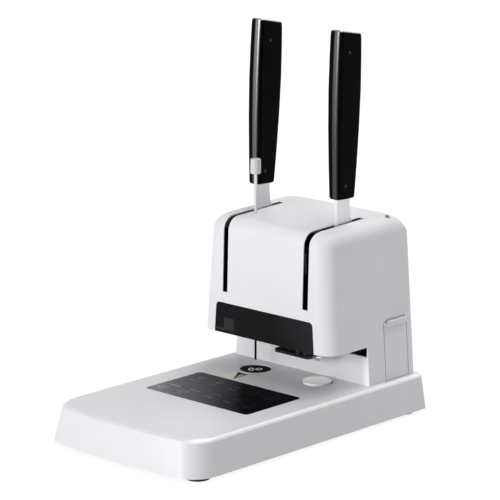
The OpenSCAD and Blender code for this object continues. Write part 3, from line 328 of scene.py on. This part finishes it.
def window_smoke():
    """Smoked sheet, nearly black and opaque.

    A paler patch painted low at the left stands for the mechanism that the photograph hints at."""
    finish = Finish("smoked window", (0.004, 0.004, 0.005), 0.16, specular=0.07)
    block = finish.both(finish.inside("X", -52.5, -39.5, 0.5), finish.inside("Z", 80, 92.5, 0.5))
    # The pale strip low at the left and the greying towards the right are painted reflection.
    strip = finish.both(finish.inside("X", -63, -52.5, 0.8), finish.inside("Z", 79.5, 81.5, 0.6))
    drift = finish.spread(finish.noise(30, 2), 0.75, 1.0)
    tone = finish.blend(finish.slanted(1, 0, 10, 60), (0.004, 0.004, 0.0055), (0.021, 0.021, 0.025))
    base = finish.blend(drift, (0.003, 0.003, 0.003), tone)
    with_strip = finish.blend(strip, base, (0.03, 0.03, 0.036))
    finish.join(finish.blend(block, with_strip, (0.028, 0.028, 0.033)),
                finish.shader.inputs["Base Color"])
    finish.vary_roughness(20, 0.04)
    finish.bump(finish.noise(70, 1), 0.1, 0.1)
    return finish.material


def circuit_green():
    finish = Finish("board lacquer", (0.02, 0.12, 0.05), 0.35)
    finish.vary_color(1.5, 0.3)
    finish.vary_roughness(3, 0.1)
    finish.bump(finish.noise(0.8, 1), 0.03, 0.4)
    return finish.material


FINISHES = {
    # The edge strips of shell white and base white are painted highlights: the column's front edge
    # and the base's right top fillet.
    "shell white": moulded_plastic("shell white", (0.78, 0.775, 0.805), 0.45, specular=0.4,
                                   edge=("Y", 91.8, 93.1, 38, 76)),
    "base white": moulded_plastic("base white", (0.73, 0.725, 0.755), 0.36, specular=0.42,
                                  edge=("Z", 35.0, 38.2, 30, 40)),
    "cap white": moulded_plastic("cap white", (0.97, 0.965, 0.985), 0.3, coat=1.0, sheen=1.0),
    "knob white": moulded_plastic("knob white", (0.66, 0.655, 0.67), 0.35, specular=0.3),
    "ring white": moulded_plastic("ring white", (0.95, 0.945, 0.96), 0.25),
    "pale grey": moulded_plastic("pale grey plastic", (0.62, 0.62, 0.65), 0.5),
    "black plastic": moulded_plastic("black plastic", (0.008, 0.008, 0.009), 0.45, specular=0.2),
    "tan plastic": gauge_tan(),
    "satin black": moulded_plastic("satin black coat", (0.008, 0.008, 0.009), 0.25, coat=0.3,
                                   specular=0.3),
    "grip black": grip_black(),
    "rubber": rubber("black rubber", (0.012, 0.012, 0.013)),
    "mat": rubber("mat rubber", (0.004, 0.004, 0.005), 0.7, 0.03),
    "panel": panel_black(),
    "panel ink": panel_print(),
    "white ink": moulded_plastic("white ink", (0.95, 0.95, 0.96), 0.6, specular=0.1),
    "window": window_smoke(),
    "board": circuit_green(),
    # The lever bars are near black below 170 mm: painted shade where they go down through the slots
    # into the head.
    "right bar steel": brushed_metal("right bar steel", (0.62, 0.615, 0.63), 0.4, "Z",
                                     black_below_mm=170),
    "left bar steel": brushed_metal("left bar steel", (0.55, 0.545, 0.56), 0.4, "Z",
                                    black_below_mm=170),
    "needle steel": brushed_metal("needle steel", (0.62, 0.62, 0.64), 0.25, "Z",
                                  black_below_mm=110),
    "polished": turned_metal("polished steel", (0.86, 0.86, 0.87), 0.12, 0.04),
    "steel": turned_metal("machined steel", (0.30, 0.30, 0.31), 0.35),
    "oiled steel": turned_metal("oiled steel", (0.05, 0.05, 0.052), 0.35),
    "dark steel": turned_metal("dark steel", (0.16, 0.16, 0.17), 0.4),
    "black screw": turned_metal("blackened screw", (0.03, 0.03, 0.03), 0.3),
    "black cast": turned_metal("blackened casting", (0.012, 0.012, 0.013), 0.55),
    "cast": turned_metal("cast aluminium", (0.50, 0.50, 0.52), 0.5),
    "brass": turned_metal("turned brass", (0.60, 0.43, 0.16), 0.3),
}


# ---- pieces ------------------------------------------------------------------
def give(piece, finish):
    piece.data.materials.clear()
    piece.data.materials.append(FINISHES[finish])


def settle(piece, body, finish):
    """Links a finished mesh to its finish and its moving body."""
    give(piece, finish)
    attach(piece, body)
    return piece


def slot_of(node):
    return {s["node"]: s["material_slot"] for s in frame["record"]["subparts"]}[node]


def new_piece(name, bm):
    """An object at the origin from a bmesh whose place is already in its mesh."""
    bmesh.ops.remove_doubles(bm, verts=bm.verts, dist=1e-6)
    bmesh.ops.recalc_face_normals(bm, faces=bm.faces)
    mesh = bpy.data.meshes.new(name)
    bm.to_mesh(mesh)
    bm.free()
    piece = bpy.data.objects.new(name, mesh)
    scene.collection.objects.link(piece)
    return piece


def soften(bm, angle):
    """Smooth shading, with the edges sharper than the angle kept sharp."""
    for face in bm.faces:
        face.smooth = True
    for edge in bm.edges:
        edge.smooth = edge.calc_face_angle(0) < radians(angle)


def dressed(node, name, finish, edge_mm=0.3, angle=32, segments=2, flat_deg=0.4):
    """The CAD node's own shape with its edges broken and its shading smoothed."""
    source = NODES[node]
    bm = bmesh.new()
    bm.from_mesh(source.data)
    bmesh.ops.remove_doubles(bm, verts=bm.verts, dist=2e-6)
    bmesh.ops.dissolve_limit(bm, angle_limit=radians(flat_deg), verts=bm.verts, edges=bm.edges)
    soften(bm, angle)
    mesh = bpy.data.meshes.new(name)
    bm.to_mesh(mesh)
    bm.free()
    piece = bpy.data.objects.new(name, mesh)
    scene.collection.objects.link(piece)
    if edge_mm:
        bevel = piece.modifiers.new("broken edges", "BEVEL")
        bevel.width = edge_mm * MM
        bevel.segments = segments
        bevel.limit_method = "ANGLE"
        bevel.angle_limit = radians(angle)
        bevel.harden_normals = True
    shading = piece.modifiers.new("flat faces", "WEIGHTED_NORMAL")
    shading.keep_sharp = True
    settle(piece, source["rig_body"], finish)
    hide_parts(node)
    return piece


# node: (piece's name, finish, width of its broken edges in millimetres)
OUTSIDE = {
    "head_shell": ("head_cover", "shell white", 0.35),
    "base_shell": ("base_housing", "base white", 0.35),
    "throat_panel": ("throat_wall", "shell white", 0.3),
    "rear_cover": ("back_cover", "pale grey", 0.3),
    "drawer_front": ("drawer_face", "shell white", 0.3),
    "smoked_window": ("window_sheet", "window", 0.2),
    "under_cover": ("head_floor", "black plastic", 0.2),
    "touch_panel": ("panel_sheet", "panel", 0.1),
    "tube_gauge": ("tube_rest", "tan plastic", 0),
    "mat_ring": ("mat_seat_ring", "ring white", 0.2),
    "drill_mat": ("drilling_mat", "mat", 0.25),
    "die_cap": ("die_cover_cap", "cap white", 0.2),
    "rubber_feet": ("feet", "rubber", 0.3),
    "lever_bar_left": ("left_bar", "left bar steel", 0.3),
    "lever_bar_right": ("right_bar", "right bar steel", 0.3),
    "grip_screws_left": ("left_grip_screws", "black screw", 0.25),
    "grip_screws_right": ("right_grip_screws", "black screw", 0.25),
    "needle_knob": ("needle_button", "knob white", 0.3),
    "clearing_needle": ("needle_rod", "needle steel", 0.1),
    "upper_die": ("rivet_die", "polished", 0.15),
    "die_heater": ("die_block", "black cast", 0.3),
    "paper_press": ("press_foot", "satin black", 0.4),
    "hollow_drill": ("drill_tube", "steel", 0.05),
    "drill_chuck": ("chuck", "black cast", 0.2),
    "mains_inlet": ("power_socket", "black plastic", 0.3),
    "switch_frame": ("switch_bezel", "black plastic", 0.3),
    "switch_rocker": ("rocker", "black plastic", 0.3),
    "case_screws": ("housing_screws", "dark steel", 0.2),
    "drawer_box": ("drawer_tray", "pale grey", 0.3),
}
for node, (name, finish, edge_mm) in OUTSIDE.items():
    dressed(node, name, finish, edge_mm)

GRIP_TURN = {"left": (-54.2, 2.7), "right": (49.8, 1.6)}    # X of each grip, degrees of lean
GRIP_FOOT = (93.8, 217.4)       # Y and Z of both grips' lower ends
GRIP_LENGTH = 160.1
GRIP_EDGE = 4.5                 # radius of the round edges


def grip_half(v):
    """Half the grip's depth and half its thickness at a share v of its height."""
    if v > 0.65:
        return 17.1 - 2.2 * (v - 0.65), 8 - 0.7 * (v - 0.65)
    swell = sin(v / 0.65 * tau / 4)
    return 13.1 + 4 * swell, 7 + swell


def map_grip(piece, x_middle, lean):
    """Gives a grip its own map: round its section in U, up its height in V."""
    turn = Matrix.Rotation(radians(lean), 4, "X")
    middle = Vector((x_middle, *GRIP_FOOT))
    bm = bmesh.new()
    bm.from_mesh(piece.data)
    layer = bm.loops.layers.uv.new("own")
    for face in bm.faces:
        centre = turn @ (face.calc_center_median() / MM - middle)
        half_deep, _ = grip_half(centre.z / GRIP_LENGTH)
        is_front = centre.y < GRIP_EDGE - half_deep + 0.3
        is_back = centre.y > half_deep - GRIP_EDGE - 0.3
        for loop in face.loops:
            point = turn @ (loop.vert.co / MM - middle)
            v = point.z / GRIP_LENGTH
            half_deep, half_thick = grip_half(v)
            u = point.x / half_thick
            if is_back:
                u = 3 - abs(u)
            elif not is_front:
                u = 1.5 + point.y / 2 / half_deep
            loop[layer].uv = (u, GRIP_MAP_TOP if face.normal.z > 0.5 else v)
    bm.to_mesh(piece.data)
    bm.free()


for side, (x_middle, lean) in GRIP_TURN.items():
    grip = dressed(f"grip_{side}", f"{side}_grip", "grip black", edge_mm=0, angle=40, flat_deg=0.01)
    map_grip(grip, x_middle, lean)


# ---- printed marks -----------------------------------------------------------
def ring(bm, x, y, radius, width, deep=1.0, segments=32):
    """A flat ring, stretched along Y by deep."""
    made = bmesh.ops.create_circle(bm, segments=segments, radius=radius)["verts"]
    edges = list({e for v in made for e in v.link_edges})
    inner = [v for v in bmesh.ops.extrude_edge_only(bm, edges=edges)["geom"]
             if isinstance(v, bmesh.types.BMVert)]
    bmesh.ops.scale(bm, verts=inner, vec=[1 - width / radius] * 2 + [1])
    place(bm, made + inner, x, y, deep)


def stroke(bm, x, y, length, width, turn=0.0):
    """A flat bar about its middle."""
    made = bmesh.ops.create_grid(bm, x_segments=1, y_segments=1, size=0.5)["verts"]
    bmesh.ops.scale(bm, verts=made, vec=(length, width, 1))
    bmesh.ops.rotate(bm, verts=made, matrix=Matrix.Rotation(radians(turn), 3, "Z"))
    place(bm, made, x, y)


def place(bm, verts, x, y, deep=1.0):
    bmesh.ops.scale(bm, verts=verts, vec=(1, deep, 1))
    bmesh.ops.translate(bm, verts=verts, vec=(x, y, 0))


def printed(name, bm, x, y, top, turn, finish, slot, thick=0.03):
    """Flat marks in millimetres, made a layer that stands on a face at the height top."""
    faces = list(bm.faces)
    grown = bmesh.ops.extrude_face_region(bm, geom=faces)["geom"]
    bmesh.ops.translate(bm, verts=[v for v in grown if isinstance(v, bmesh.types.BMVert)],
                        vec=(0, 0, thick))
    at = Matrix.Translation((x, y, top)) @ Matrix.Rotation(radians(turn), 4, "Z")
    bmesh.ops.transform(bm, matrix=Matrix.Scale(MM, 4) @ at, verts=bm.verts)
    piece = new_piece(name, bm)
    return settle(piece, NODES["base_shell"]["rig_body"], finish)


PANEL_TOP = 38.605
MAT_TOP = 37.805


def panel_marks():
    """Generic keys: two rings with captions in front, rows of small signs behind them."""
    bm = bmesh.new()
    for x in (-56, -29):
        ring(bm, x, -42.5, 5, 0.5)
        stroke(bm, x + 5, -31.5, 13, 1.1)
    ring(bm, -56, -42.5, 2, 0.5)
    stroke(bm, -29, -42.5, 4, 0.7, 40)
    for i, x in enumerate((-50, -26, 0, 24, 48)):
        stroke(bm, x, -6, 12 - 2 * (i % 2), 1)
        stroke(bm, x, 4, 6, 0.7, 90 * (i % 2))
        ring(bm, x, 4, 3.6, 0.45)
    for x in (0, 24, 48):
        stroke(bm, x, -38, 9, 1)
        stroke(bm, x, -28, 5, 0.7, 35)
        stroke(bm, x + 4, -28, 5, 0.7, -35)
    printed("panel_marks", bm, 0, 0, PANEL_TOP, 0, "panel ink", slot_of("touch_panel"))


def mat_marks():
    """Two small generic signs, a ring and an arrowhead with its bar."""
    bm = bmesh.new()
    ring(bm, -4.4, 0, 3.0, 1.6, 1.8)
    stroke(bm, 1.6, 2.0, 6.0, 2.0, 48)
    stroke(bm, 2.0, -2.2, 5.4, 2.0, -42)
    stroke(bm, 5.4, 0.8, 1.9, 5.4)
    printed("mat_marks", bm, -35, 64.6, MAT_TOP, 43, "white ink", slot_of("drill_mat"))


panel_marks()
mat_marks()


# ---- dark strips that deepen the shade in two gaps ---------------------------
# The machine has no seals there: these are painted shade and stand for the dark lines in the
# photograph.
CAP_AT = (40.4, 70.5)
CAP_GAP_OUTER = 15.0            # radius of the gap round the white cap


def cap_gap_shade():
    """A dark ring of painted shade at the bottom of the gap round the white cap."""
    bm = bmesh.new()
    ring(bm, 0, 0, CAP_GAP_OUTER, 0.6, segments=64)
    printed("cap_gap_shade", bm, *CAP_AT, 36.95, 0, "mat", slot_of("rubber_feet"), thick=1.2)


SIDE_LEAN = 0.073
COLUMN_HALF_WIDTH = 88          # at the base's top
BASE_TOP = 38.4
DRAWER_GAPS = (117.1, 150.9)    # Y of the gaps in front of and behind the drawer's face


def drawer_gap_shade():
    """Dark strips of painted shade just under the surface in the two upright gaps beside the
    drawer's face.
    """
    bm = bmesh.new()
    for y in DRAWER_GAPS:
        z_middle, height = 66.5, 53
        x = COLUMN_HALF_WIDTH - SIDE_LEAN * (z_middle - BASE_TOP) - 0.8
        at = (Matrix.Translation((x, y, z_middle))
              @ Matrix.Rotation(-SIDE_LEAN, 4, "Y") @ Matrix.Diagonal((0.9, 0.56, height, 1)))
        bmesh.ops.create_cube(bm, size=1, matrix=Matrix.Scale(MM, 4) @ at)
    bmesh.ops.bevel(bm, geom=bm.edges[:], offset=0.12 * MM, segments=2, profile=0.5,
                    affect="EDGES", material=-1)
    settle(new_piece("drawer_gap_shade", bm), NODES["head_shell"]["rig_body"], "mat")


cap_gap_shade()
drawer_gap_shade()

# Inner nodes keep their CAD shape and get a finish
INSIDE = {
    "black cast": ["bottom_plate", "side_frame_left", "side_frame_right", "lower_guide_plate",
                   "upper_guide_plate", "drill_slide", "rivet_slide"],
    "board": ["control_board", "power_supply"],
    "brass": ["lower_die", "needle_bush", "spindle_bearings"],
    "cast": ["lower_heater", "spindle_pulley", "motor_pulley"],
    "oiled steel": ["lever_shaft", "drill_pinion", "rivet_pinion", "drill_rack", "rivet_rack",
                    "drill_spindle", "drill_return_spring", "rivet_return_spring",
                    "drill_guide_rods", "rivet_guide_rods"],
    "dark steel": ["drive_motor"],
    "rubber": ["drive_belt"],
}
for finish, nodes in INSIDE.items():
    for node in nodes:
        give(NODES[node], finish)


# ---- studio ------------------------------------------------------------------
def area_light(name, place, target, size, power):
    data = bpy.data.lights.new(name, "AREA")
    data.shape = "RECTANGLE"
    data.size, data.size_y = size
    data.energy = power
    lamp = bpy.data.objects.new(name, data)
    lamp.location = place
    lamp.rotation_euler = (Vector(target) - Vector(place)).to_track_quat("-Z", "Y").to_euler()
    scene.collection.objects.link(lamp)
    return lamp


def white_for_rays(tree, names=("Is Camera Ray", "Is Glossy Ray", "Is Transmission Ray")):
    """A value that is 1 for the rays that see the backdrop, added up and clamped."""
    light_path = tree.nodes.new("ShaderNodeLightPath")
    total = light_path.outputs[names[0]]
    for name in names[1:]:
        add = tree.nodes.new("ShaderNodeMath")
        add.operation = "ADD"
        add.use_clamp = True
        tree.links.new(total, add.inputs[0])
        tree.links.new(light_path.outputs[name], add.inputs[1])
        total = add.outputs["Value"]
    return total


def studio(ambient=0.5):
    world = bpy.data.worlds.new("studio")
    scene.world = world
    world.use_nodes = True
    tree = world.node_tree
    sky = tree.nodes["Background"]
    sky.inputs["Color"].default_value = (1, 1, 1, 1)
    strength = tree.nodes.new("ShaderNodeMapRange")
    strength.inputs["To Min"].default_value = ambient
    strength.inputs["To Max"].default_value = 1.0
    tree.links.new(white_for_rays(tree), strength.inputs["Value"])
    tree.links.new(strength.outputs["Result"], sky.inputs["Strength"])


FLOOR_GLOW = (("From Min", 0.25), ("From Max", 0.8), ("To Min", 1.12), ("To Max", 1.24))
FLOOR_GLOW_SHARE = 0.82


def floor(half_width=9.0):
    """Pale paper that glows for the rays that see it, so that it renders white."""
    bm = bmesh.new()
    bmesh.ops.create_grid(bm, x_segments=2, y_segments=2, size=half_width)
    piece = new_piece("studio_floor", bm)
    material = bpy.data.materials.new("floor paper")
    material.use_nodes = True
    tree = material.node_tree
    paper = tree.nodes["Principled BSDF"]
    paper.inputs["Base Color"].default_value = (0.82, 0.82, 0.83, 1)
    paper.inputs["Roughness"].default_value = 0.9
    glow = tree.nodes.new("ShaderNodeEmission")
    place_on = tree.nodes.new("ShaderNodeTexCoord").outputs["Object"]
    far = tree.nodes.new("ShaderNodeVectorMath")
    far.operation = "LENGTH"
    tree.links.new(place_on, far.inputs[0])
    level = tree.nodes.new("ShaderNodeMapRange")
    for name, number in FLOOR_GLOW:
        level.inputs[name].default_value = number
    tree.links.new(far.outputs["Value"], level.inputs["Value"])
    tree.links.new(level.outputs["Result"], glow.inputs["Strength"])
    share = tree.nodes.new("ShaderNodeMath")
    share.operation = "MULTIPLY"
    share.inputs[1].default_value = FLOOR_GLOW_SHARE
    mix = tree.nodes.new("ShaderNodeMixShader")
    tree.links.new(white_for_rays(tree), share.inputs[0])
    tree.links.new(share.outputs["Value"], mix.inputs["Fac"])
    tree.links.new(paper.outputs["BSDF"], mix.inputs[1])
    tree.links.new(glow.outputs["Emission"], mix.inputs[2])
    tree.links.new(mix.outputs["Shader"], tree.nodes["Material Output"].inputs["Surface"])
    piece.data.materials.append(material)


# name: (place, target, size in metres, power in watts)
LIGHTS = {
    "front_left": ((-0.55, -2.3, 0.55), (0, 0, 0.12), (1.2, 0.9), 31.5),
    "front_right": ((0.55, -2.3, 0.6), (0, 0, 0.12), (1.2, 0.9), 4.2),
    "front_high": ((0.0, -1.7, 1.6), (0, 0, 0.12), (1.2, 0.9), 7.5),
    "right_high": ((0.9, 0.1, 1.7), (0, 0, 0.1), (1.0, 1.0), 6.8),
    "rear_high": ((0.0, 0.9, 1.9), (0, 0, 0.1), (1.2, 1.2), 17.5),
    "rear_right": ((0.56, 1.42, 1.37), (0.05, 0, 0.1), (0.7, 0.7), 5),
}
studio(0.12)
floor()
for name, (place_at, target, size, power) in LIGHTS.items():
    area_light(name, place_at, target, size, power)


# ---- camera ------------------------------------------------------------------
PHOTO_AZIMUTH, PHOTO_ELEVATION = 43.038, 13.351     # degrees
PHOTO_TARGET = (5.488, 13.12, 173.357)              # millimetres
PHOTO_DISTANCE = 2.6496                             # metres
PHOTO_LENS = 201.6


def photo_camera():
    """The photograph's long lens: turned 43 degrees to the right and 13 degrees down."""
    data = bpy.data.cameras.new("photo view")
    data.sensor_width = 36
    data.lens = PHOTO_LENS
    data.clip_end = 50
    camera = bpy.data.objects.new("photo view", data)
    azimuth, elevation = radians(PHOTO_AZIMUTH), radians(PHOTO_ELEVATION)
    back = Vector((sin(azimuth) * cos(elevation), -cos(azimuth) * cos(elevation), sin(elevation)))
    target = Vector(PHOTO_TARGET) * MM
    camera.location = target + back * PHOTO_DISTANCE
    camera.rotation_euler = back.to_track_quat("Z", "Y").to_euler()
    scene.collection.objects.link(camera)
    scene.camera = camera


photo_camera()
scene.view_settings.view_transform = "Standard"
